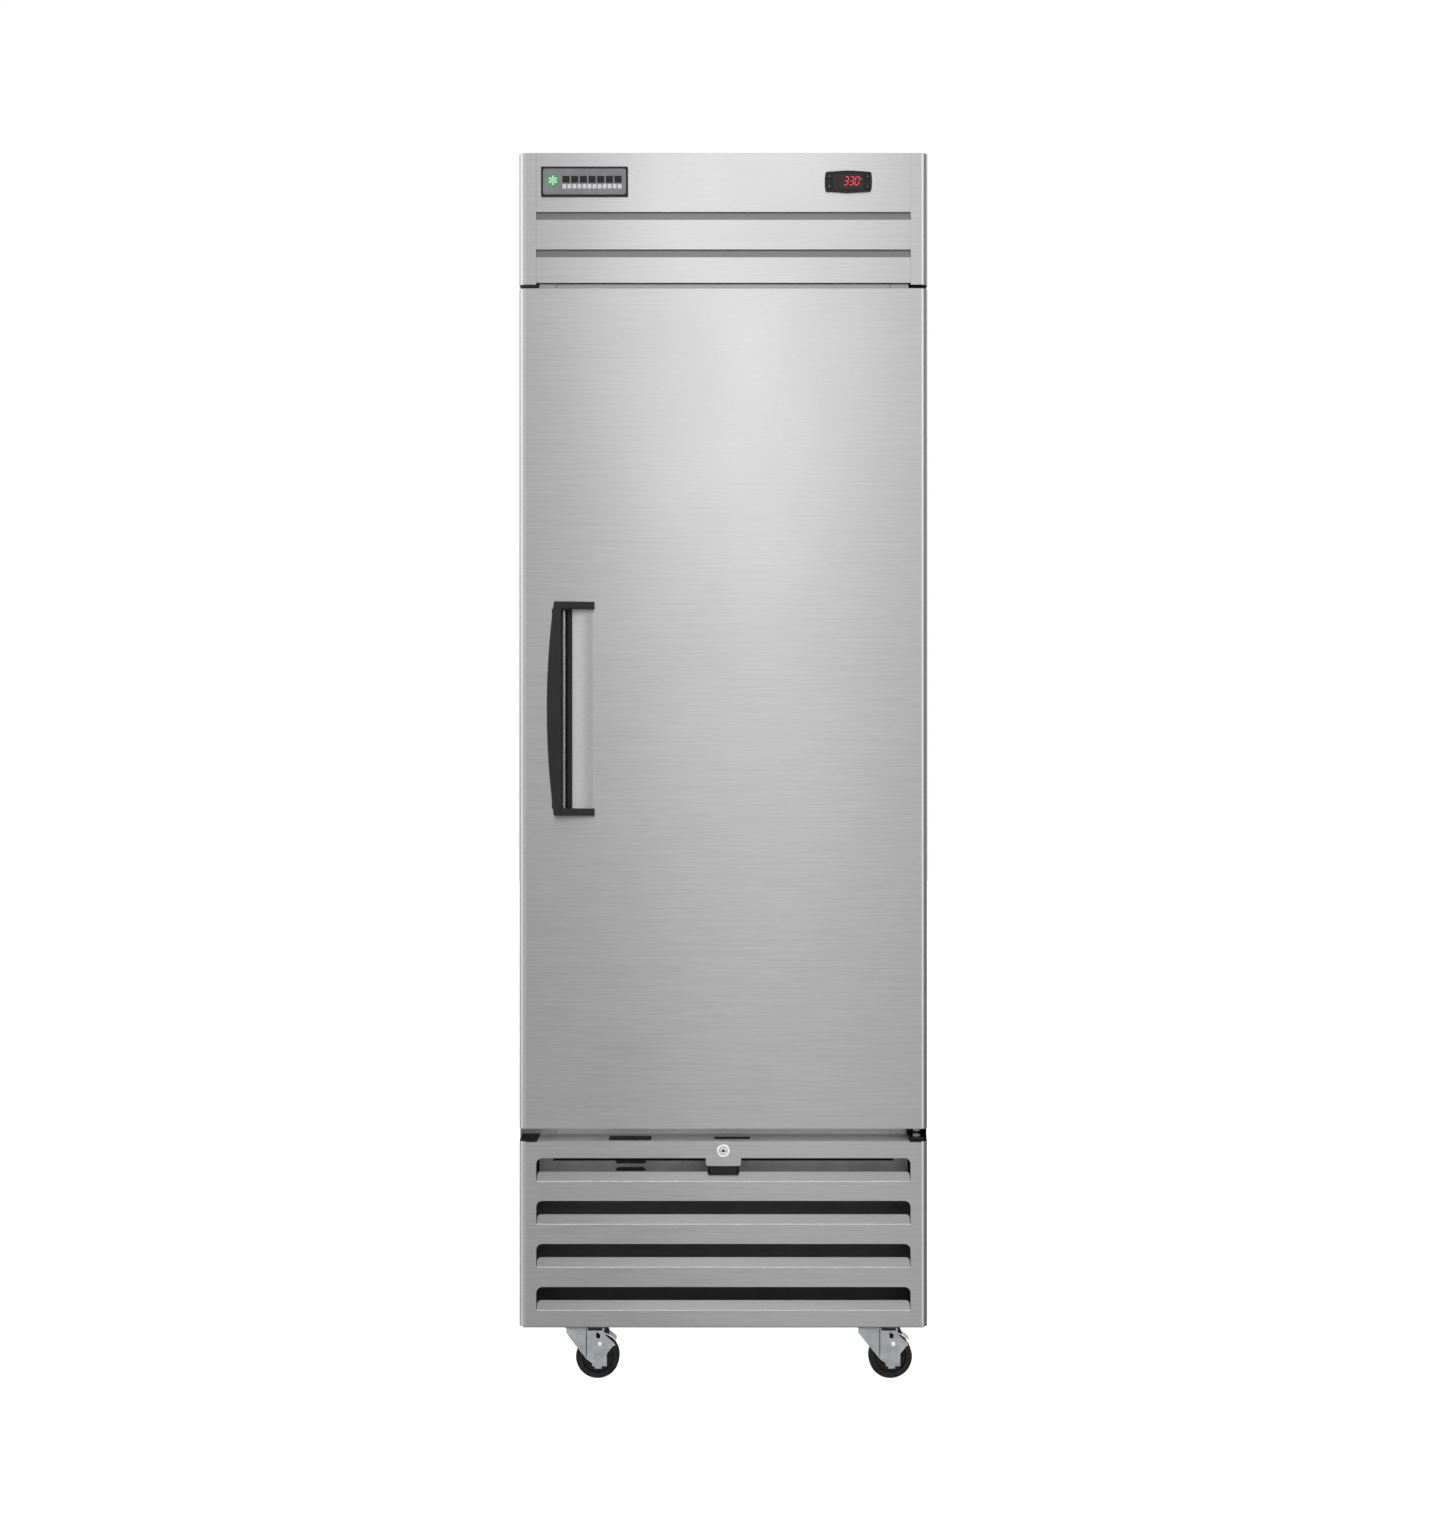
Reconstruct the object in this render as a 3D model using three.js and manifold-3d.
// A one-door reach-in refrigerator on casters, with its compressor below the cabinet.
// Millimetres, Z up. The origin is on the floor, below the middle of the overall box.
// The front faces -Y, and +X is the right-hand side as seen from the front.
import * as THREE from "three";
import { mergeVertices } from "three/addons/utils/BufferGeometryUtils.js";
import Module from "manifold-3d";

const wasm = await Module();
wasm.setup();

// ---- Driving dimensions ----

const WIDTH = 698.5;
const HEIGHT = 2117;
const DEPTH = 825; // with the handle
const HANDLE_PROJECTION = 25;
const SHEET = 1.5;
const LINER = 1;
const PAN = 3; // the base pan's thickness
const GAP = 0.3; // between pieces that touch
const WALL = 60; // insulated wall, skin to liner

const SIDE = WIDTH / 2;
const FRONT = -DEPTH / 2 + HANDLE_PROJECTION; // the front of door, header and grille
const BACK = DEPTH / 2;
const FACE = FRONT + 67; // the cabinet's face, behind the door

const BASE_BOTTOM = 113;
const LEDGE_TOP = 429.5;
const DOOR_BOTTOM = 451;
const DOOR_TOP = 1886;
const HEADER_BOTTOM = 1895;
const STILE_BOTTOM = 1892; // the header's ends hang a little lower than its middle
const FLOOR_TOP = 490; // inside the cabinet
const OPENING_TOP = 1850;
const CEILING = 2055;
const PANEL_HALF = 319.5; // slots and louvres end here, on the header's and grille's middle
const STILE = 61;
const INNER = SIDE - STILE; // inner faces of the side liners
const LINER_BACK = BACK - WALL;
const FRONT_RADIUS = 12; // vertical front edges

const HINGE = { x: 332, y: FRONT + 25, pin: 5, hole: 5.6 };
const HINGE_HALF_WIDTH = 14;
const LOCK = { x: 0, z: 414, camY: FRONT + 28, camLength: 46, camHalfWidth: 8 };
const CASTER = { x: 256, front: FRONT + 92, rear: BACK - 85, trail: 36, wheel: 38, halfWidth: 12 };

// ---- Solids ----

function solidOf(geometry) {
  const bare = geometry.clone();
  bare.deleteAttribute("normal");
  bare.deleteAttribute("uv");
  const merged = mergeVertices(bare, 1e-3);
  return new wasm.Manifold(
    new wasm.Mesh({
      numProp: 3,
      vertProperties: merged.attributes.position.array,
      triVerts: new Uint32Array(merged.index.array),
    }),
  );
}

function join(solids) {
  return solids.reduce((whole, solid) => whole.add(solid));
}

function cut(solid, tools) {
  return tools.reduce((left, tool) => left.subtract(tool), solid);
}

function box(x0, x1, y0, y1, z0, z1) {
  const geometry = new THREE.BoxGeometry(x1 - x0, y1 - y0, z1 - z0);
  geometry.translate((x0 + x1) / 2, (y0 + y1) / 2, (z0 + z1) / 2);
  return solidOf(geometry);
}

// Points of a closed outline. A corner is [u, v] or, when rounded, [u, v, radius].
function outline(corners, arcSteps = 4) {
  const points = [];
  corners.forEach(([u, v, radius], i) => {
    const corner = new THREE.Vector2(u, v);
    if (!radius) {
      points.push(corner);
      return;
    }
    const before = corners[(i + corners.length - 1) % corners.length];
    const after = corners[(i + 1) % corners.length];
    const back = new THREE.Vector2(before[0] - u, before[1] - v).normalize();
    const ahead = new THREE.Vector2(after[0] - u, after[1] - v).normalize();
    const half = Math.acos(THREE.MathUtils.clamp(back.dot(ahead), -1, 1)) / 2;
    const toCentre = back.clone().add(ahead).setLength(radius / Math.sin(half));
    const centre = corner.clone().add(toCentre);
    const start = back.clone().setLength(radius / Math.tan(half)).add(corner).sub(centre);
    const end = ahead.clone().setLength(radius / Math.tan(half)).add(corner).sub(centre);
    let sweep = end.angle() - start.angle();
    if (sweep > Math.PI) sweep -= 2 * Math.PI;
    if (sweep < -Math.PI) sweep += 2 * Math.PI;
    for (let step = 0; step <= arcSteps; step += 1) {
      const angle = (sweep * step) / arcSteps;
      points.push(start.clone().rotateAround(new THREE.Vector2(), angle).add(centre));
    }
  });
  return points;
}

function rectangle(u0, u1, v0, v1, radius = 0) {
  return [
    [u0, v0, radius],
    [u1, v0, radius],
    [u1, v1, radius],
    [u0, v1, radius],
  ];
}

// An outline pushed along an axis: "z" takes (x, y) corners, "y" (x, z) and "x" (y, z).
function prism(axis, from, to, corners, holes = [], arcSteps = 4) {
  const shape = new THREE.Shape(outline(corners, arcSteps));
  holes.forEach((hole) => shape.holes.push(new THREE.Path(outline(hole, arcSteps))));
  const geometry = new THREE.ExtrudeGeometry(shape, { depth: to - from, bevelEnabled: false });
  const X = new THREE.Vector3(1, 0, 0);
  const Y = new THREE.Vector3(0, 1, 0);
  const Z = new THREE.Vector3(0, 0, 1);
  if (axis === "z") geometry.translate(0, 0, from);
  if (axis === "x") {
    geometry.applyMatrix4(new THREE.Matrix4().makeBasis(Y, Z, X));
    geometry.translate(from, 0, 0);
  }
  if (axis === "y") {
    geometry.applyMatrix4(new THREE.Matrix4().makeBasis(X, Z, Y.negate()));
    geometry.translate(0, to, 0);
  }
  return solidOf(geometry);
}

// A round bar along an axis through (u, v): (x, y) for "z", (x, z) for "y", (y, z) for "x".
function rod(axis, u, v, from, to, radius, segments = 20, endRadius = radius) {
  const geometry = new THREE.CylinderGeometry(endRadius, radius, to - from, segments);
  const middle = (from + to) / 2;
  if (axis === "z") geometry.rotateX(Math.PI / 2).translate(u, v, middle);
  if (axis === "y") geometry.translate(u, middle, v);
  if (axis === "x") geometry.rotateZ(-Math.PI / 2).translate(middle, u, v);
  return solidOf(geometry);
}

// A turned shape: [radius, height] pairs from the bottom up, starting and ending on the axis
// or closing on themselves.
function turned(profile, segments) {
  const points = profile.map(([radius, height]) => new THREE.Vector2(radius, height));
  return solidOf(new THREE.LatheGeometry(points, segments).rotateX(Math.PI / 2));
}

function bent(points, radius, sides = 8, steps = 24) {
  const path = new THREE.CatmullRomCurve3(points.map((point) => new THREE.Vector3(...point)));
  const circle = new THREE.Shape();
  circle.absarc(0, 0, radius, 0, 2 * Math.PI);
  return solidOf(
    new THREE.ExtrudeGeometry(circle, {
      steps,
      curveSegments: sides / 2,
      bevelEnabled: false,
      extrudePath: path,
    }),
  );
}

// ---- Materials ----

const steel = () => finish(0xc4c4c2, 0.35, 0.9);
const liningSteel = () => finish(0xd6d6d4, 0.4, 0.8);
const zinc = () => finish(0xb4b8ba, 0.4, 0.85);
const chrome = () => finish(0xe2e2e4, 0.12, 1);
const aluminium = () => finish(0xb9bcbe, 0.45, 0.85);
const blackPlastic = () => finish(0x1c1c1d, 0.55, 0);
const charcoalPlastic = () => finish(0x343434, 0.5, 0);
const rubber = () => finish(0x2a2a2c, 0.8, 0);
const foam = () => finish(0xe3d7a8, 0.95, 0);
const blackPaint = () => finish(0x17181a, 0.4, 0.2);
const whitePlastic = () => finish(0xf0f0ec, 0.4, 0);
const displayGlass = () => finish(0x120506, 0.08, 0);

function finish(color, roughness, metalness) {
  return new THREE.MeshStandardMaterial({ color, roughness, metalness });
}

const refrigerator = new THREE.Group();
refrigerator.name = "reach_in_refrigerator";

function add(name, solid, material) {
  const { numProp, vertProperties, triVerts } = solid.getMesh();
  const geometry = new THREE.BufferGeometry();
  geometry.setAttribute("position", new THREE.BufferAttribute(vertProperties, numProp));
  geometry.setIndex(new THREE.BufferAttribute(triVerts, 1));
  geometry.computeVertexNormals();
  const mesh = new THREE.Mesh(geometry, material);
  mesh.name = name;
  refrigerator.add(mesh);
}

// ---- Cabinet shell ----

const SKIN_INSIDE = SIDE - SHEET - GAP;
const FACE_INSIDE = FACE + SHEET + GAP;
const BACK_INSIDE = BACK - SHEET - GAP;
const TOP_INSIDE = HEIGHT - SHEET - GAP;
const DECK_TOP = LEDGE_TOP + SHEET;

// A panel that wraps round both front corners, as seen from above.
function wrapOutline(back, inset, radius) {
  return [
    [-SIDE + inset, back],
    [-SIDE + inset, FRONT + inset, radius],
    [SIDE - inset, FRONT + inset, radius],
    [SIDE - inset, back],
  ];
}

// The side skin folds round the front to make the stile that the gasket meets.
function sidePanel(side) {
  const corners = [
    [side * SIDE, BACK],
    [side * (SIDE - SHEET), BACK],
    [side * (SIDE - SHEET), FACE + SHEET],
    [side * INNER, FACE + SHEET],
    [side * INNER, FACE],
    [side * SIDE, FACE, 2],
  ];
  return prism("z", BASE_BOTTOM, HEIGHT, corners);
}

const VENT = { halfWidth: 120, columnX: 150, bottom: 170, rows: 7, pitch: 28, height: 9 };
const INLET = { x: -270, z: 385, radius: 16 };

function backPanel() {
  const holes = [rod("y", INLET.x, INLET.z, BACK - 3 * SHEET, BACK + SHEET, INLET.radius)];
  for (const column of [-VENT.columnX, VENT.columnX]) {
    for (let row = 0; row < VENT.rows; row += 1) {
      const z = VENT.bottom + row * VENT.pitch;
      const left = column - VENT.halfWidth;
      const right = column + VENT.halfWidth;
      holes.push(box(left, right, BACK - 3 * SHEET, BACK + SHEET, z, z + VENT.height));
    }
  }
  return cut(box(-SKIN_INSIDE, SKIN_INSIDE, BACK - SHEET, BACK, BASE_BOTTOM, TOP_INSIDE), holes);
}

function powerInlet() {
  const { x, z, radius } = INLET;
  return join([
    rod("y", x, z, BACK - SHEET - 8, BACK - SHEET - GAP, radius + 5, 6),
    rod("y", x, z, BACK - SHEET - 1, BACK - GAP, radius - GAP),
  ]).subtract(rod("y", x, z, BACK - 12, BACK + 1, 5, 12));
}

// The pan reaches forward under the grille, with a slit at each side for the stile.
function basePan() {
  const inset = SHEET + GAP;
  const top = BASE_BOTTOM + PAN;
  const sheet = prism(
    "z",
    BASE_BOTTOM,
    top,
    wrapOutline(BACK_INSIDE, inset, FRONT_RADIUS - inset),
  );
  const slits = [-1, 1].map((side) => {
    const [left, right] = side < 0 ? [-SIDE, GAP - INNER] : [INNER - GAP, SIDE];
    return box(left, right, FACE - GAP, FACE_INSIDE, BASE_BOTTOM - 1, top + 1);
  });
  return cut(sheet, slits);
}

function addShell() {
  const halfRail = INNER - GAP;
  add("side_panel_left", sidePanel(-1), steel());
  add("side_panel_right", sidePanel(1), steel());
  add("back_panel", backPanel(), steel());
  add("power_inlet", powerInlet(), blackPlastic());
  add(
    "top_panel",
    box(-SKIN_INSIDE, SKIN_INSIDE, FACE_INSIDE, BACK, HEIGHT - SHEET, HEIGHT),
    steel(),
  );
  add(
    "top_rail",
    box(-halfRail, halfRail, FACE, FACE + SHEET, OPENING_TOP, HEIGHT),
    steel(),
  );
  add(
    "bottom_rail",
    box(-halfRail, halfRail, FACE, FACE + SHEET, LEDGE_TOP, FLOOR_TOP),
    steel(),
  );
  add(
    "deck_plate",
    box(-SKIN_INSIDE, SKIN_INSIDE, FACE_INSIDE, BACK_INSIDE, LEDGE_TOP, DECK_TOP),
    zinc(),
  );
  add("base_pan", basePan(), zinc());
}

// ---- Lining and insulation ----

const HEADER_LINER = FACE + WALL; // the lining behind the header, above the door opening

function ceilingLiner() {
  const corners = [
    [FACE_INSIDE, OPENING_TOP],
    [HEADER_LINER, OPENING_TOP],
    [HEADER_LINER, CEILING],
    [LINER_BACK - GAP, CEILING],
    [LINER_BACK - GAP, CEILING + LINER],
    [HEADER_LINER - LINER, CEILING + LINER],
    [HEADER_LINER - LINER, OPENING_TOP + LINER],
    [FACE_INSIDE, OPENING_TOP + LINER],
  ];
  return prism("x", -INNER + GAP, INNER - GAP, corners);
}

function insulation() {
  const clear = LINER + GAP;
  const reach = INNER + clear;
  const floor = FLOOR_TOP - clear;
  const back = LINER_BACK + clear;
  const shell = box(
    -SKIN_INSIDE,
    SKIN_INSIDE,
    FACE_INSIDE,
    BACK_INSIDE,
    DECK_TOP + GAP,
    TOP_INSIDE,
  );
  return cut(shell, [
    box(-reach, reach, FACE, back, floor, OPENING_TOP + clear),
    box(-reach, reach, HEADER_LINER - clear, back, floor, CEILING + clear),
  ]);
}

// The side lining steps back above the door opening, behind the header's insulation.
function sideLiner(x) {
  const bottom = FLOOR_TOP - LINER;
  const back = LINER_BACK + LINER;
  return prism("x", x, x + LINER, [
    [FACE_INSIDE, bottom],
    [back, bottom],
    [back, CEILING + LINER],
    [HEADER_LINER - LINER, CEILING + LINER],
    [HEADER_LINER - LINER, OPENING_TOP + LINER],
    [FACE_INSIDE, OPENING_TOP + LINER],
  ]);
}

function addLining() {
  const across = INNER - GAP;
  add("liner_left", sideLiner(-INNER - LINER), liningSteel());
  add("liner_right", sideLiner(INNER), liningSteel());
  add(
    "liner_back",
    box(-across, across, LINER_BACK, LINER_BACK + LINER, FLOOR_TOP - LINER, CEILING + LINER),
    liningSteel(),
  );
  add(
    "liner_floor",
    box(-across, across, FACE_INSIDE, LINER_BACK - GAP, FLOOR_TOP - LINER, FLOOR_TOP),
    liningSteel(),
  );
  add("liner_ceiling", ceilingLiner(), liningSteel());
  add("insulation_foam", insulation(), foam());
}

// ---- Header with badge and controller ----

const HEADER_SLOT = { height: 13, depth: 8, centres: [2009.5, 1945.5] };
const BADGE = { x: -237, z: 2067.5, width: 148.5, height: 51, thickness: 3, rim: 3.5 };
const CONTROLLER = { x: 213.2, z: 2067.3, width: 78.5, height: 37.6, bow: 2.5, stand: 4 };
const DISPLAY = { left: 187, right: 239.4, height: 28 };

function headerPanel() {
  const back = FACE - GAP;
  const skin = prism("z", STILE_BOTTOM, HEIGHT, wrapOutline(back, 0, FRONT_RADIUS));
  const hollow = prism(
    "z",
    STILE_BOTTOM - 1,
    HEIGHT - SHEET,
    wrapOutline(FACE + 1, SHEET, FRONT_RADIUS - SHEET),
  );
  const recesses = [];
  const pans = [];
  for (const z of HEADER_SLOT.centres) {
    const bottom = z - HEADER_SLOT.height / 2;
    const top = z + HEADER_SLOT.height / 2;
    const floor = FRONT + HEADER_SLOT.depth;
    recesses.push(box(-PANEL_HALF, PANEL_HALF, FRONT - 1, floor, bottom, top));
    pans.push(
      box(
        -PANEL_HALF - SHEET,
        PANEL_HALF + SHEET,
        FRONT + SHEET / 2,
        floor + SHEET,
        bottom - SHEET,
        top + SHEET,
      ),
    );
  }
  const middleStep = box(
    -PANEL_HALF,
    PANEL_HALF,
    FRONT - 1,
    FRONT + 2 * SHEET,
    STILE_BOTTOM - 1,
    HEADER_BOTTOM,
  );
  return cut(join([skin.subtract(hollow), ...pans]), [...recesses, middleStep]);
}

function badge() {
  const { x, z, width, height, thickness, rim } = BADGE;
  const body = prism(
    "y",
    FRONT - thickness,
    FRONT - GAP,
    rectangle(x - width / 2, x + width / 2, z - height / 2, z + height / 2, 2.5),
  );
  const plate = prism(
    "y",
    FRONT - thickness - 1,
    FRONT - thickness + 1,
    rectangle(
      x - width / 2 + rim,
      x + width / 2 - rim,
      z - height / 2 + rim,
      z + height / 2 - rim,
      5,
    ),
  );
  return body.subtract(plate);
}

// Where the four buttons stand: [name, x, z].
const BUTTON = { halfWidth: 3.4, halfHeight: 4.6, travel: 0.8, stand: 1.2, clear: 0.4 };
const BUTTONS = [
  ["button_defrost", 180.8, 2075.6],
  ["button_set", 180.8, 2058.6],
  ["button_up", 245.6, 2075.6],
  ["button_down", 245.6, 2058.6],
];
const BUTTON_BACK = FRONT - GAP - 1; // the bottom of each button's well in the bezel

function buttonHole([, x, z]) {
  const { halfWidth, halfHeight, clear } = BUTTON;
  return box(
    x - halfWidth - clear,
    x + halfWidth + clear,
    FRONT - CONTROLLER.stand - 1,
    BUTTON_BACK,
    z - halfHeight - clear,
    z + halfHeight + clear,
  );
}

function controllerBezel() {
  const { x, z, width, height, bow, stand } = CONTROLLER;
  const left = x - width / 2;
  const right = x + width / 2;
  const bottom = z - height / 2;
  const top = z + height / 2;
  const corners = [
    [left, bottom + bow, 4],
    [x, bottom, 120],
    [right, bottom + bow, 4],
    [right + bow / 2, z, 60],
    [right, top - bow, 4],
    [x, top, 120],
    [left, top - bow, 4],
    [left - bow / 2, z, 60],
  ];
  const body = prism("y", FRONT - stand, FRONT - GAP, corners);
  const window = box(
    DISPLAY.left,
    DISPLAY.right,
    FRONT - stand - 1,
    FRONT - stand + 2,
    z - DISPLAY.height / 2,
    z + DISPLAY.height / 2,
  );
  return cut(body, [window, ...BUTTONS.map(buttonHole)]);
}

function displayLens() {
  return box(
    DISPLAY.left + GAP,
    DISPLAY.right - GAP,
    FRONT - CONTROLLER.stand + 0.4,
    FRONT - CONTROLLER.stand + 2 - GAP,
    CONTROLLER.z - DISPLAY.height / 2 + GAP,
    CONTROLLER.z + DISPLAY.height / 2 - GAP,
  );
}

function button([, x, z]) {
  const { halfWidth, halfHeight, travel, stand } = BUTTON;
  return prism(
    "y",
    FRONT - CONTROLLER.stand - stand,
    BUTTON_BACK - travel - 0.2,
    rectangle(x - halfWidth, x + halfWidth, z - halfHeight, z + halfHeight, 1.2),
  );
}

function addHeader() {
  add("header_panel", headerPanel(), steel());
  add("badge", badge(), aluminium());
  add("controller_bezel", controllerBezel(), blackPlastic());
  add("controller_lens", displayLens(), displayGlass());
  BUTTONS.forEach((place) => add(place[0], button(place), blackPlastic()));
}

// ---- Grille, ledge and lock ----

const LOUVRE = { tops: [401, 328, 254.5, 181], opening: 39.5, flap: 14.8, radius: 10, lean: 9 };
const TAB = { halfWidth: 30, bottom: 387.5 };

// One opening; the sheet below it is bent inwards to make the louvre's flap.
function louvreOpening(top) {
  const corners = [
    [-PANEL_HALF, top - LOUVRE.opening],
    [PANEL_HALF, top - LOUVRE.opening],
    [PANEL_HALF, top, LOUVRE.radius],
    [-PANEL_HALF, top, LOUVRE.radius],
  ];
  return prism("y", FRONT - 1, FRONT + SHEET + 1, corners);
}

function louvreFlap(top) {
  const foot = top - LOUVRE.opening;
  const head = foot + LOUVRE.flap;
  const section = [
    [FRONT, foot - 1],
    [FRONT + SHEET, foot - 1],
    [FRONT + SHEET, foot],
    [FRONT + SHEET + LOUVRE.lean, head],
    [FRONT + LOUVRE.lean, head],
    [FRONT, foot],
  ];
  const half = PANEL_HALF - 3;
  const flap = prism("x", -half, half, section);
  const rounded = prism("y", FRONT - 1, FRONT + 40, [
    [-half, foot - 2],
    [half, foot - 2],
    [half, head, LOUVRE.radius],
    [-half, head, LOUVRE.radius],
  ]);
  return flap.intersect(rounded);
}

function grillePanel() {
  const back = FACE - GAP;
  const skin = prism("z", BASE_BOTTOM, LEDGE_TOP, wrapOutline(back, 0, FRONT_RADIUS));
  const hollow = prism(
    "z",
    BASE_BOTTOM - 1,
    LEDGE_TOP + 1,
    wrapOutline(FACE + 1, SHEET, FRONT_RADIUS - SHEET),
  );
  const openings = LOUVRE.tops.map(louvreOpening);
  const tab = prism("y", FRONT, FRONT + SHEET, [
    [-TAB.halfWidth, TAB.bottom, 5],
    [TAB.halfWidth, TAB.bottom, 5],
    [TAB.halfWidth, LOUVRE.tops[0] + 1],
    [-TAB.halfWidth, LOUVRE.tops[0] + 1],
  ]);
  const pierced = cut(skin.subtract(hollow), openings);
  const whole = join([pierced, tab, ...LOUVRE.tops.map(louvreFlap)]);
  return whole.subtract(rod("y", LOCK.x, LOCK.z, FRONT - 1, FRONT + 5, 9.5));
}

const SWITCH = { left: -197, right: -124, front: FRONT + 12, back: FRONT + 50, depth: 6 };
const CAM_SLOT = { left: -14, right: 44, halfWidth: 4 };

// The shelf below the door, closed at the front by the grille panel's top edge.
function ledgePlate() {
  const inset = SHEET + GAP;
  const plate = prism(
    "z",
    LEDGE_TOP - SHEET,
    LEDGE_TOP,
    wrapOutline(FACE - GAP, inset, FRONT_RADIUS - inset),
  );
  const slot = (left, right, front, back) =>
    box(left, right, front, back, LEDGE_TOP - 2 * SHEET, LEDGE_TOP + SHEET);
  const { halfWidth } = CAM_SLOT;
  return cut(plate, [
    slot(CAM_SLOT.left, CAM_SLOT.right, LOCK.camY - halfWidth, LOCK.camY + halfWidth),
    slot(SWITCH.left, SWITCH.right, SWITCH.front, SWITCH.back),
  ]);
}

function switchCover() {
  const { left, right, front, back, depth } = SWITCH;
  const bottom = LEDGE_TOP - depth;
  return box(left + GAP, right - GAP, front + GAP, back - GAP, bottom, LEDGE_TOP + 0.5);
}

const HOUSING = { halfWidth: 27, bottom: 372, knee: 385, depthBelow: 5, depth: 15.8 };

// The lock's fixed case: a chrome ring in front of the tab and a barrel and box behind it.
function lockBody() {
  const { x, z } = LOCK;
  const behind = FRONT + SHEET + GAP;
  const ring = rod("y", x, z, FRONT - 3.5, FRONT - GAP, 11, 32);
  const barrel = rod("y", x, z, FRONT - 1, behind + 2, 9.2);
  const top = LEDGE_TOP - SHEET - GAP;
  const housing = prism("x", x - HOUSING.halfWidth, x + HOUSING.halfWidth, [
    [behind, HOUSING.bottom],
    [FRONT + HOUSING.depthBelow, HOUSING.bottom],
    [FRONT + HOUSING.depth, HOUSING.knee],
    [FRONT + HOUSING.depth, top],
    [behind, top],
  ]);
  return join([ring, barrel, housing]).subtract(rod("y", x, z, FRONT - 5, behind + 20, 7));
}

// The plug turns with the cam on its back end; the cam points to +X when unlocked.
function lockPlug() {
  const { x, z, camY, camLength, camHalfWidth } = LOCK;
  const plug = rod("y", x, z, FRONT - 3.9, camY - 1, 6.6);
  const cam = prism("y", camY - 1.25, camY + 1.25, [
    [x - camHalfWidth, z - camHalfWidth, 4],
    [x + camLength, z - camHalfWidth, 3],
    [x + camLength, z + camHalfWidth, 3],
    [x - camHalfWidth, z + camHalfWidth, 4],
  ]);
  const keyway = box(x - 0.9, x + 0.9, FRONT - 6, FRONT + 4, z - 3.6, z + 3.6);
  return join([plug, cam]).subtract(keyway);
}

function addGrille() {
  add("grille_panel", grillePanel(), steel());
  add("ledge_plate", ledgePlate(), steel());
  add("door_switch_cover", switchCover(), blackPlastic());
  add("lock_body", lockBody(), chrome());
  add("lock_plug", lockPlug(), chrome());
}

// ---- Hinges ----

const PIN_REACH = 18;

// Each bracket is an L: a leaf against the cabinet's face and an arm that holds the pin.
function hingeBracket(armBottom, armTop, leafBottom, leafTop, pinBottom, pinTop) {
  const left = HINGE.x - HINGE_HALF_WIDTH;
  const right = HINGE.x + HINGE_HALF_WIDTH;
  const arm = prism(
    "z",
    armBottom,
    armTop,
    [
      [left, FACE - GAP],
      [left, HINGE.y - 16, 6],
      [right, HINGE.y - 16, 6],
      [right, FACE - GAP],
    ],
  );
  const leaf = box(left, right, FACE - GAP - 4, FACE - GAP, leafBottom, leafTop);
  const pin = rod("z", HINGE.x, HINGE.y, pinBottom, pinTop, HINGE.pin);
  return join([arm, leaf, pin]);
}

function addHinges() {
  const top = hingeBracket(
    DOOR_TOP + 1.5,
    DOOR_TOP + 5.5,
    DOOR_TOP + 1.5,
    DOOR_TOP + 60,
    DOOR_TOP - PIN_REACH,
    DOOR_TOP + 3,
  );
  const bottom = hingeBracket(
    LEDGE_TOP + GAP,
    LEDGE_TOP + 5,
    LEDGE_TOP + GAP,
    DOOR_BOTTOM + 4,
    LEDGE_TOP + 3,
    DOOR_BOTTOM + PIN_REACH,
  );
  add("hinge_bracket_top", top, blackPaint());
  add("hinge_bracket_bottom", bottom, blackPaint());
}

// ---- Door ----

const DOOR_BACK = FRONT + 54;
const PIN_HOLE_DEPTH = PIN_REACH + 3;

// The handle's recess: deep behind the grip, then a gentle slope up to the door's face.
const POCKET = {
  left: -292,
  deepRight: -262,
  right: -221,
  bottom: 998,
  top: 1338,
  depth: 34,
  slopeDepth: 8,
};

function pocketSection(margin) {
  const { left, deepRight, right, depth, slopeDepth } = POCKET;
  const slope = (right - deepRight) / slopeDepth;
  return [
    [left - margin, FRONT - 1],
    [right + margin * slope, FRONT - 1],
    [right + margin * slope, FRONT],
    [deepRight + margin, FRONT + slopeDepth + margin],
    [deepRight + margin, FRONT + depth + margin],
    [left - margin, FRONT + depth + margin],
  ];
}

function pinHole(from, to) {
  return rod("z", HINGE.x, HINGE.y, from, to, HINGE.hole);
}

const pinHoles = () => [
  pinHole(DOOR_TOP - PIN_HOLE_DEPTH, DOOR_TOP + 1),
  pinHole(DOOR_BOTTOM - 1, DOOR_BOTTOM + PIN_HOLE_DEPTH),
];

const CAM_POCKET = { left: -14, right: 34, depth: 15 };

// Where the cam turns up into the foot of the door.
function camPocket(margin) {
  const halfWidth = CAM_SLOT.halfWidth + margin;
  return box(
    CAM_POCKET.left - margin,
    CAM_POCKET.right + margin,
    LOCK.camY - halfWidth,
    LOCK.camY + halfWidth,
    DOOR_BOTTOM - 5,
    DOOR_BOTTOM + CAM_POCKET.depth + margin,
  );
}

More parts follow.
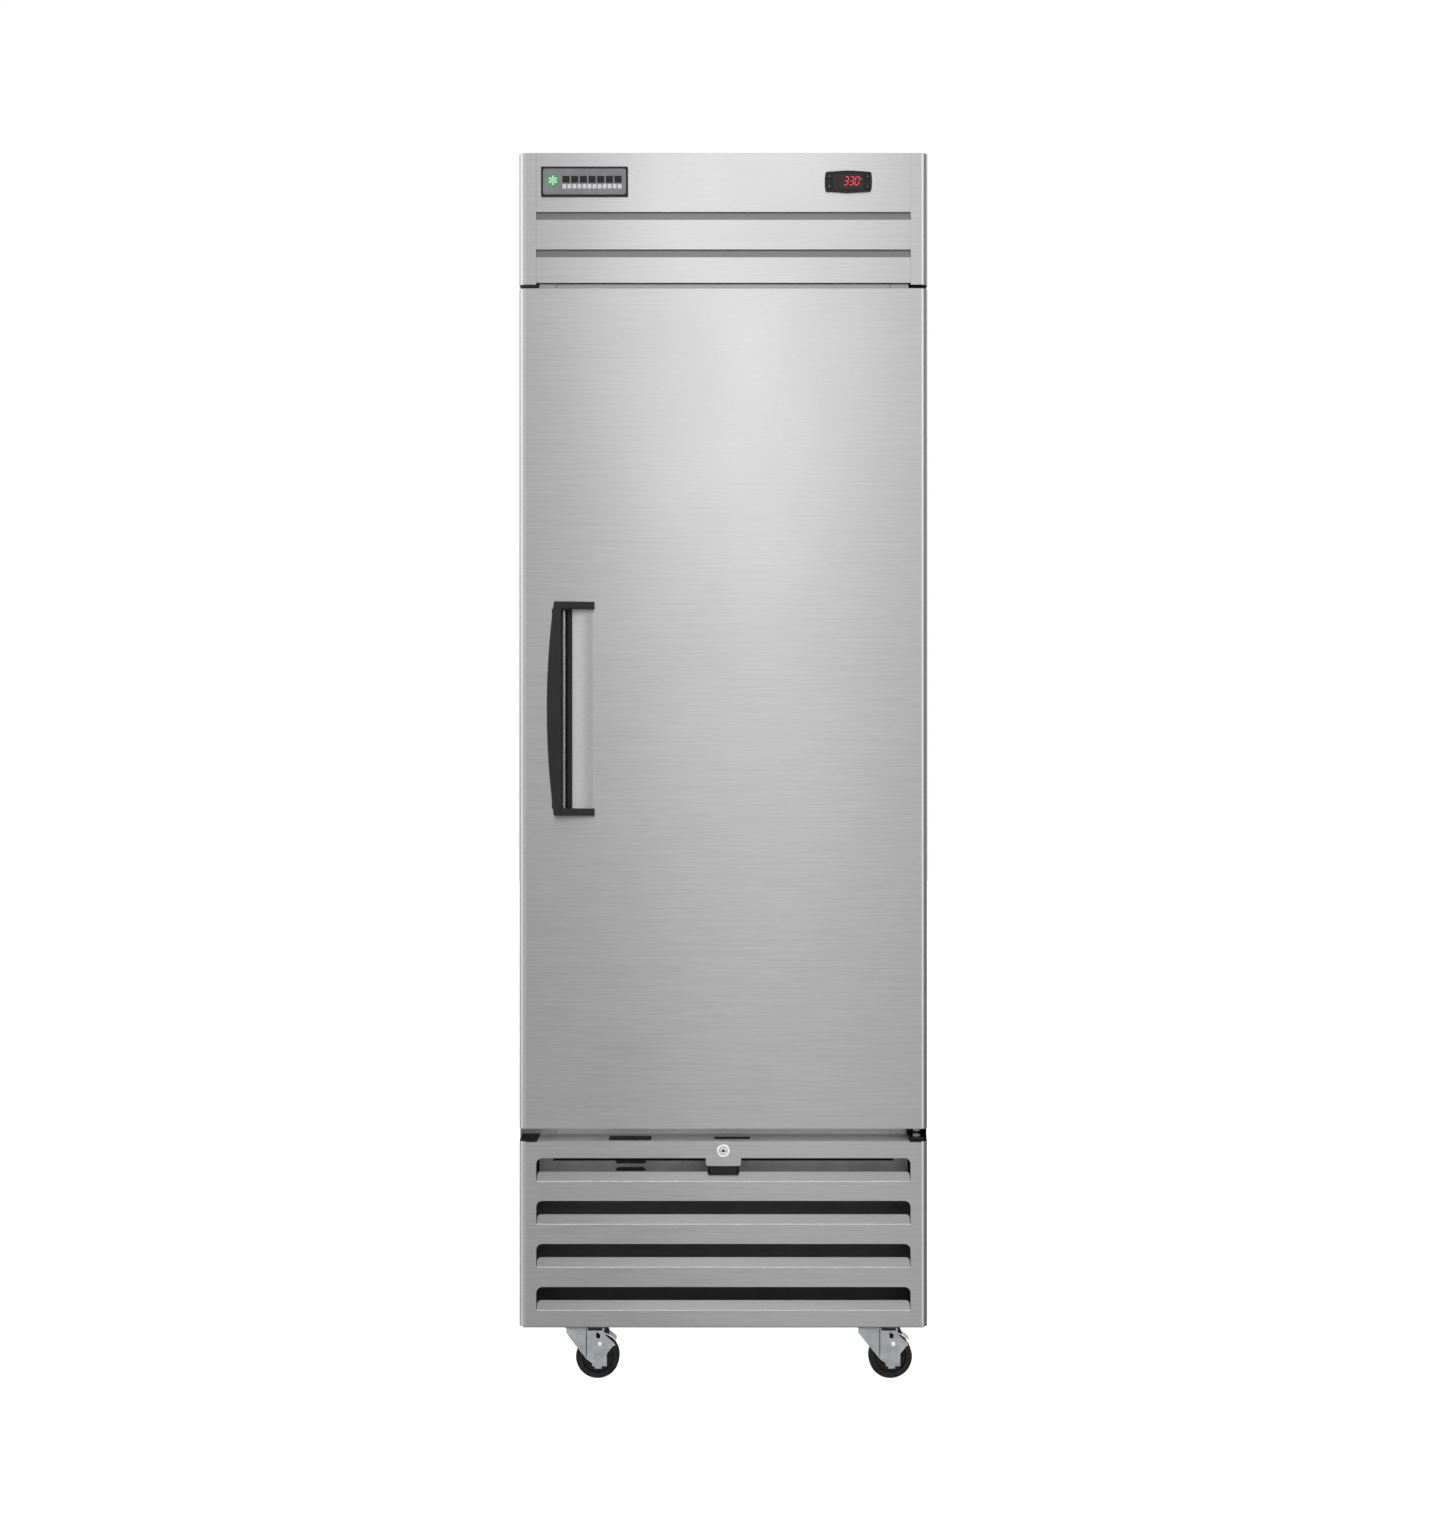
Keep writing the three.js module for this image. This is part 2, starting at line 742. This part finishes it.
function doorSkin() {
  const outside = prism(
    "z",
    DOOR_BOTTOM,
    DOOR_TOP,
    wrapOutline(DOOR_BACK, 0, FRONT_RADIUS),
  );
  const inside = prism(
    "z",
    DOOR_BOTTOM + SHEET,
    DOOR_TOP - SHEET,
    wrapOutline(DOOR_BACK + 1, SHEET, FRONT_RADIUS - SHEET),
  );
  const clip = box(-SIDE, SIDE, FRONT, BACK, DOOR_BOTTOM, DOOR_TOP);
  const pan = prism("z", POCKET.bottom - SHEET, POCKET.top + SHEET, pocketSection(SHEET));
  const hollow = prism("z", POCKET.bottom, POCKET.top, pocketSection(0));
  const shell = outside.subtract(inside).add(pan.intersect(clip));
  return cut(shell, [hollow, camPocket(0), ...pinHoles()]);
}

function doorFoam() {
  const inset = SHEET + GAP;
  const body = prism(
    "z",
    DOOR_BOTTOM + inset,
    DOOR_TOP - inset,
    wrapOutline(DOOR_BACK - SHEET - GAP, inset, FRONT_RADIUS - inset),
  );
  const pocket = prism(
    "z",
    POCKET.bottom - inset,
    POCKET.top + inset,
    pocketSection(inset),
  );
  return cut(body, [pocket, camPocket(1), ...pinHoles()]);
}

const GASKET = { outer: 333, width: 22, bottom: 464, top: 1874 };

// A hollow-looking seal: a flat foot on the door and a narrower lip towards the cabinet.
function gasket() {
  const { outer, width, bottom, top } = GASKET;
  const ring = (inset, y0, y1) =>
    prism(
      "y",
      y0,
      y1,
      rectangle(-outer + inset, outer - inset, bottom + inset, top - inset),
      [
        rectangle(
          -outer + width - inset,
          outer - width + inset,
          bottom + width - inset,
          top - width + inset,
        ),
      ],
    );
  return join([
    ring(0, DOOR_BACK + GAP, DOOR_BACK + 7),
    ring(5, DOOR_BACK + 6, FACE - 0.5),
  ]);
}

const GRIP = {
  left: -288.3,
  bulge: 11.5,
  right: -275,
  back: FRONT - 13,
  arm: 12,
  armRight: -220,
  wall: 4,
  ribLeft: -267.5,
  ribRight: -259.5,
  ribFoot: -274.3,
  ribFront: FRONT + 4,
};

// The grip bows outwards to the left and to the front, between its two arms.
function gripBar(bottom, top) {
  const middle = (bottom + top) / 2;
  const steps = 8;
  const silhouette = [
    [GRIP.right, bottom],
    [GRIP.right, top],
  ];
  for (let step = 0; step <= steps; step += 1) {
    const t = (2 * step) / steps - 1;
    silhouette.push([GRIP.left - GRIP.bulge * (1 - t * t), middle - (t * (top - bottom)) / 2]);
  }
  const sideways = prism("y", FRONT - HANDLE_PROJECTION, FRONT - GAP, silhouette);
  const bowed = prism("x", GRIP.left - 20, GRIP.right + 1, [
    [FRONT - GAP, bottom],
    [FRONT - GAP, top],
    [FRONT - 19, top, 5],
    [FRONT - HANDLE_PROJECTION, middle + 90, 300],
    [FRONT - HANDLE_PROJECTION, middle - 90, 300],
    [FRONT - 19, bottom, 5],
  ]);
  return sideways.intersect(bowed);
}

// A C-shaped pull: the grip in front, arms above and below, and in the recess a wall behind
// the grip and a rib where the slope begins.
function doorHandle() {
  const bottom = POCKET.bottom - GRIP.arm;
  const top = POCKET.top + GRIP.arm;
  const arms = [
    [bottom, POCKET.bottom - SHEET + 0.5],
    [POCKET.top + SHEET - 0.5, top],
  ].map(([from, to]) =>
    prism("z", from, to, [
      [GRIP.left, FRONT - GAP],
      [GRIP.left, FRONT - 16, 4],
      [GRIP.armRight - 6, FRONT - 9, 6],
      [GRIP.armRight, FRONT - GAP],
    ]),
  );
  const low = POCKET.bottom + GAP;
  const high = POCKET.top - GAP;
  const wallX = POCKET.left + GAP;
  const floorY = FRONT + POCKET.depth - GAP;
  const wall = box(wallX, wallX + GRIP.wall, GRIP.back - 1, floorY, low, high);
  const ribX = POCKET.deepRight - GAP;
  const rib = prism("z", low, high, [
    [GRIP.ribFoot, floorY],
    [GRIP.ribFoot, floorY - 3],
    [GRIP.ribLeft, floorY - 3],
    [GRIP.ribLeft, GRIP.ribFront],
    [GRIP.ribRight, GRIP.ribFront],
    [GRIP.ribRight, GRIP.ribFront + 3],
    [ribX, GRIP.ribFront + 3.5],
    [ribX, floorY],
  ]);
  const ends = [
    [low, low + 6],
    [high - 6, high],
  ].map(([from, to]) => box(wallX + 1, GRIP.ribFoot + 1, floorY - 3, floorY, from, to));
  const fingerGap = box(
    wallX + GRIP.wall,
    GRIP.armRight + 20,
    GRIP.back,
    FRONT,
    POCKET.bottom - SHEET + 0.5,
    POCKET.top + SHEET - 0.5,
  );
  return join([gripBar(bottom, top).subtract(fingerGap), ...arms, wall, rib, ...ends]);
}

function addDoor() {
  const inside = SIDE - SHEET - GAP;
  add("door_skin", doorSkin(), steel());
  add("door_foam", doorFoam(), foam());
  add(
    "door_inner_panel",
    box(
      -inside,
      inside,
      DOOR_BACK - SHEET,
      DOOR_BACK,
      DOOR_BOTTOM + SHEET + GAP,
      DOOR_TOP - SHEET - GAP,
    ),
    liningSteel(),
  );
  add("door_gasket", gasket(), rubber());
  add("door_handle", doorHandle(), charcoalPlastic());
}

// ---- Shelves and light ----

const SHELF = { halfWidth: 280, front: FACE + 35, back: LINER_BACK - 25, rod: 7, wire: 4 };
const CLIP = { halfWidth: 8, rise: 8, drop: 14 };
const SHELF_HEIGHTS = { lower: 760, middle: 1110, upper: 1460 };
const SHELF_WIRES = 9;
const CLIP_PLACES = [SHELF.front + 60, SHELF.back - 60];

// The bracket under a shelf's corner, which hooks into the upright on the side liner.
function shelfClip(side, y, top) {
  const wallX = side * (INNER - GAP);
  const edgeX = side * (SHELF.halfWidth + 1);
  const underX = side * (SHELF.halfWidth - 12);
  return prism("y", y - CLIP.halfWidth, y + CLIP.halfWidth, [
    [wallX, top + CLIP.rise],
    [wallX, top - CLIP.drop],
    [underX, top - 4],
    [underX, top + 0.5],
    [edgeX, top + 0.5],
    [edgeX, top + CLIP.rise],
  ]);
}

function shelf(z) {
  const { halfWidth, front, back, rod: bar, wire } = SHELF;
  const frame = box(-halfWidth, halfWidth, front, back, z - bar, z - 1).subtract(
    box(-halfWidth + bar, halfWidth - bar, front + bar, back - bar, z - bar - 1, z + 1),
  );
  const pieces = [frame];
  const pitch = (2 * halfWidth - bar) / (SHELF_WIRES + 1);
  for (let i = 1; i <= SHELF_WIRES; i += 1) {
    const x = -halfWidth + bar / 2 + i * pitch;
    pieces.push(box(x - wire / 2, x + wire / 2, front + 2, back - 2, z - wire, z));
  }
  for (const y of [front + 200, back - 200]) {
    pieces.push(box(-halfWidth + 2, halfWidth - 2, y - 3, y + 3, z - bar, z - wire + 0.5));
  }
  for (const side of [-1, 1]) {
    for (const y of CLIP_PLACES) {
      pieces.push(shelfClip(side, y, z - bar));
    }
  }
  return join(pieces);
}

const LIGHT = { bottom: 950, top: 1770, width: 26, depth: 16 };

// A light bar on the left wall, just inside the door opening.
function lightBar() {
  const y = FACE + 4;
  const x = -INNER + GAP;
  return prism("z", LIGHT.bottom, LIGHT.top, [
    [x, y],
    [x + LIGHT.depth, y + 4, 3],
    [x + LIGHT.depth, y + LIGHT.width - 4, 3],
    [x, y + LIGHT.width],
  ]);
}

function addInterior() {
  for (const [place, z] of Object.entries(SHELF_HEIGHTS)) {
    add(`shelf_${place}`, shelf(z), zinc());
  }
  add("interior_light", lightBar(), whitePlastic());
}

// ---- Refrigeration ----

const FAN = { hub: 22, tip: 92, blades: 5, depth: 24, toMotor: 8 };

// A fan on the Z axis round the origin: pitched blades on a hub that reaches to the motor.
function fan() {
  const hubEnd = FAN.depth / 2 + FAN.toMotor - GAP;
  const hub = rod("z", 0, 0, -FAN.depth / 2, hubEnd, FAN.hub, 16);
  const blades = [];
  for (let i = 0; i < FAN.blades; i += 1) {
    const blade = prism("z", -1, 1, [
      [FAN.hub - 6, -14],
      [FAN.tip - 4, -30, 10],
      [FAN.tip - 4, 26, 10],
      [FAN.hub - 6, 14],
    ]);
    blades.push(blade.rotate([24, 0, 0]).rotate([0, 0, (360 * i) / FAN.blades]));
  }
  return join([hub, ...blades]);
}

const CONDENSER = { x: -110, halfWidth: 170, front: FACE + 22, back: FACE + 92, top: 400 };
const CONDENSER_FAN = { x: CONDENSER.x, y: CONDENSER.back + 58, z: 265 };
const COMPRESSOR = { x: 165, y: 90, radius: 88, bottom: BASE_BOTTOM + PAN + GAP };
const EVAPORATOR = { front: HEADER_LINER + 12, back: LINER_BACK - 12, bottom: OPENING_TOP + 14 };
const EVAPORATOR_FAN = { x: 0, y: HEADER_LINER + 130, z: EVAPORATOR.bottom + 34 };
const MOTOR = { radius: 35, length: 52 };
const TUBE_BEND = { radius: 6, reach: 14 }; // where a coil's tubes stand out of its right end

// A tube bend of a coil whose fins end at x.
function tubeBend(x, y, z) {
  return rod("x", y, z, x - 1, x + TUBE_BEND.reach, TUBE_BEND.radius, 8);
}

function condenserCoil() {
  const { x, halfWidth, front, back, top } = CONDENSER;
  const bottom = COMPRESSOR.bottom;
  const core = box(x - halfWidth, x + halfWidth, front, back, bottom, top);
  const bends = [];
  for (let row = 0; row < 5; row += 1) {
    bends.push(tubeBend(x + halfWidth, (front + back) / 2, bottom + 30 + row * 54));
  }
  return join([core, ...bends]);
}

function condenserShroud() {
  const { x, halfWidth, back, top } = CONDENSER;
  const bottom = COMPRESSOR.bottom;
  const front = back + GAP;
  const rear = back + 40;
  const { z } = CONDENSER_FAN;
  const boxShell = box(x - halfWidth, x + halfWidth, front, rear, bottom, top).subtract(
    box(x - halfWidth + 2, x + halfWidth - 2, front - 1, rear - 2, bottom + 2, top - 2),
  );
  const motorFront = CONDENSER_FAN.y + FAN.depth / 2 + FAN.toMotor;
  const arms = [];
  for (const angle of [45, 135, 225, 315]) {
    const out = new THREE.Vector3(0, 112, 0).applyAxisAngle(
      new THREE.Vector3(1, 0, 0),
      THREE.MathUtils.degToRad(angle),
    );
    const foot = [x + out.y, rear - 1, z + out.z];
    const knee = [x + out.y, motorFront + 8, z + out.z];
    const centre = [x, motorFront + 10, z];
    arms.push(bent([foot, knee, centre], 3, 6, 10));
  }
  const motor = rod("y", x, z, motorFront, motorFront + MOTOR.length, MOTOR.radius, 20);
  const mouth = rod("y", x, z, rear - 10, rear + 10, FAN.tip + 8, 32);
  return join([boxShell.subtract(mouth), motor, ...arms]);
}

function compressor() {
  const { x, y, radius, bottom } = COMPRESSOR;
  const dome = turned(
    [
      [0, 14],
      [radius - 10, 14],
      [radius, 26],
      [radius, 104],
      [radius + 3, 106],
      [radius + 3, 112],
      [radius - 1, 114],
      [radius - 6, 150],
      [radius - 34, 172],
      [0, 178],
    ],
    24,
  ).translate([x, y, bottom]);
  const foot = prism(
    "z",
    bottom,
    bottom + 16,
    rectangle(x - 105, x + 105, y - 80, y + 80, 18),
    [rectangle(x - 70, x + 70, y - 50, y + 50, 18)],
  );
  const suction = bent(
    [
      [x + 40, y + 60, bottom + 120],
      [x + 50, y + 110, bottom + 130],
      [x + 50, y + 120, bottom + 200],
      [x + 50, y + 120, bottom + 290],
    ],
    7,
    8,
    12,
  );
  const discharge = bent(
    [
      [x - 60, y - 40, bottom + 90],
      [x - 100, y - 80, bottom + 110],
      [x - 80, y - 150, bottom + 180],
      [x - 80, y - 260, bottom + 190],
    ],
    5,
    6,
    14,
  );
  return join([dome, foot, suction, discharge]);
}

// A pan below the coil; its motor hangs in the hole and the fan blows down.
function evaporatorHousing() {
  const { front, back, bottom } = EVAPORATOR;
  const half = INNER - 12;
  const { x, y, z } = EVAPORATOR_FAN;
  const hollow = box(
    -half + SHEET,
    half - SHEET,
    front + SHEET,
    back - SHEET,
    bottom + SHEET,
    CEILING,
  );
  const pan = box(-half, half, front, back, bottom, CEILING - GAP).subtract(hollow);
  const motorBottom = z + FAN.depth / 2 + FAN.toMotor;
  const beam = box(x - 10, x + 10, front + 1, y + 150, motorBottom + 20, motorBottom + 26);
  const post = box(x - 10, x + 10, y + 140, y + 150, bottom + 1, motorBottom + 24);
  const motor = rod("z", x, y, motorBottom, motorBottom + MOTOR.length, MOTOR.radius, 20);
  const mouth = rod("z", x, y, bottom - 1, bottom + 3, FAN.tip + 6, 32);
  return join([pan.subtract(mouth), beam, post, motor]);
}

const EVAPORATOR_COIL = { halfWidth: 235, front: EVAPORATOR_FAN.y + 165, height: 163 };

function evaporatorCoil() {
  const { halfWidth, front, height } = EVAPORATOR_COIL;
  const low = EVAPORATOR.bottom + SHEET + GAP;
  const core = box(-halfWidth, halfWidth, front, EVAPORATOR.back - 20, low, low + height);
  const bends = [];
  for (let row = 0; row < 4; row += 1) {
    bends.push(tubeBend(halfWidth, front + 60 + row * 60, low + 70));
  }
  return join([core, ...bends]);
}

function addRefrigeration() {
  add("compressor", compressor(), blackPaint());
  add("condenser_coil", condenserCoil(), aluminium());
  add("condenser_shroud", condenserShroud(), zinc());
  add(
    "condenser_fan_blade",
    fan()
      .rotate([-90, 0, 0])
      .translate([CONDENSER_FAN.x, CONDENSER_FAN.y, CONDENSER_FAN.z]),
    aluminium(),
  );
  add("evaporator_housing", evaporatorHousing(), liningSteel());
  add("evaporator_coil", evaporatorCoil(), aluminium());
  add(
    "evaporator_fan_blade",
    fan().translate([EVAPORATOR_FAN.x, EVAPORATOR_FAN.y, EVAPORATOR_FAN.z]),
    aluminium(),
  );
}

// ---- Casters ----

const PLATE = { half: 42, thickness: 3, top: BASE_BOTTOM - GAP };
const RACE = { radius: 28, bottom: 94 };
const FORK = { inside: CASTER.halfWidth + 2.5, sheet: 2.5, top: 90 };

// Fixed to the base: a square plate with the kingpin and the upper ball race below it.
function casterPlate(x, y) {
  const bottom = PLATE.top - PLATE.thickness;
  const plate = prism(
    "z",
    bottom,
    PLATE.top,
    rectangle(x - PLATE.half, x + PLATE.half, y - PLATE.half, y + PLATE.half, 6),
  );
  const race = rod("z", x, y, RACE.bottom + 7, bottom + 1, RACE.radius - 9, 16, RACE.radius - 4);
  const kingpin = rod("z", x, y, FORK.top - 9, bottom + 1, 6, 12);
  return join([plate, race, kingpin]);
}

// One leg of the fork, seen from the side, measured from the axle.
function legOutline(axleX, axleZ) {
  const legHeight = FORK.top - axleZ;
  return [
    [-58, legHeight],
    [-52, 39],
    [-18, -3, 6],
    [-8.7, -11.6],
    [-8.7, -19],
    [-4.4, -19],
    [-4.4, -23],
    [7.6, -23],
    [7.6, -19],
    [16.7, -19],
    [16.7, 3, 10],
    [30, 20, 4],
    [12, 37, 14],
    [12, legHeight],
  ].map(([u, v, radius]) => [axleX + u, axleZ + v, radius]);
}

function fork(x, y) {
  const axleX = x + CASTER.trail;
  const axleZ = CASTER.wheel;
  const { inside, sheet, top } = FORK;
  const hole = rectangle(axleX - 1.9, axleX + 4.8, axleZ + 29.8, axleZ + 39.6);
  const window = rectangle(axleX + 1.5, axleX + 7.3, axleZ + 16.7, axleZ + 23);
  const legs = [
    [y - inside - sheet, y - inside],
    [y + inside, y + inside + sheet],
  ].map(([from, to]) => prism("y", from, to, legOutline(axleX, axleZ), [hole, window], 3));
  const crown = box(x - 22, x + 24, y - inside - 1, y + inside + 1, top - 4, top);
  const race = rod("z", x, y, top - 1, RACE.bottom + 6, RACE.radius - 4, 16, RACE.radius);
  const axle = rod("y", axleX, axleZ, y - inside - sheet - 3, y + inside + sheet + 3, 4, 12);
  const bore = rod("z", x, y, top - 12, RACE.bottom + 8, 6.5, 12);
  return join([...legs, crown, race, axle]).subtract(bore);
}

function wheel(x, y) {
  const { wheel: radius, halfWidth, trail } = CASTER;
  const profile = [
    [4.2, -halfWidth - 1],
    [12, -halfWidth - 1],
    [13, -halfWidth + 3],
    [27, -halfWidth + 3],
    [29, -halfWidth],
    [radius - 3, -halfWidth],
    [radius, -halfWidth + 4],
    [radius, halfWidth - 4],
    [radius - 3, halfWidth],
    [29, halfWidth],
    [27, halfWidth - 3],
    [13, halfWidth - 3],
    [12, halfWidth + 1],
    [4.2, halfWidth + 1],
    [4.2, -halfWidth - 1],
  ];
  return turned(profile, 28)
    .rotate([90, 0, 0])
    .translate([x + trail, y, radius]);
}

const BRAKE = { inner: 41, outer: 44, pivotU: 4, pivotV: 43, swing: 10 };

// A curved brake lever above the wheel's trailing side, pivoted between the fork's legs.
function brakeLever(x, y) {
  const axleX = x + CASTER.trail;
  const axleZ = CASTER.wheel;
  const half = CASTER.halfWidth;
  const arc = (radius, fromDegrees, toDegrees) => {
    const points = [];
    for (let step = 0; step <= 6; step += 1) {
      const angle = THREE.MathUtils.degToRad(
        fromDegrees + ((toDegrees - fromDegrees) * step) / 6,
      );
      points.push([axleX + radius * Math.cos(angle), axleZ + radius * Math.sin(angle)]);
    }
    return points;
  };
  const shoe = prism("y", y - half, y + half, [
    ...arc(BRAKE.outer, 36, 84),
    ...arc(BRAKE.inner, 84, 36),
  ]);
  const boss = rod("y", axleX + BRAKE.pivotU, axleZ + BRAKE.pivotV, y - half, y + half, 3, 12);
  return join([shoe, boss]);
}

function addCasters() {
  const places = [
    ["front_left", -CASTER.x, CASTER.front],
    ["front_right", CASTER.x, CASTER.front],
    ["rear_left", -CASTER.x, CASTER.rear],
    ["rear_right", CASTER.x, CASTER.rear],
  ];
  for (const [place, x, y] of places) {
    add(`caster_plate_${place}`, casterPlate(x, y), zinc());
    add(`caster_fork_${place}`, fork(x, y), zinc());
    add(`caster_wheel_${place}`, wheel(x, y), rubber());
    if (place.startsWith("front")) {
      add(`caster_brake_${place}`, brakeLever(x, y), zinc());
    }
  }
}

addShell();
addLining();
addHeader();
addGrille();
addHinges();
addDoor();
addInterior();
addRefrigeration();
addCasters();

export default refrigerator;
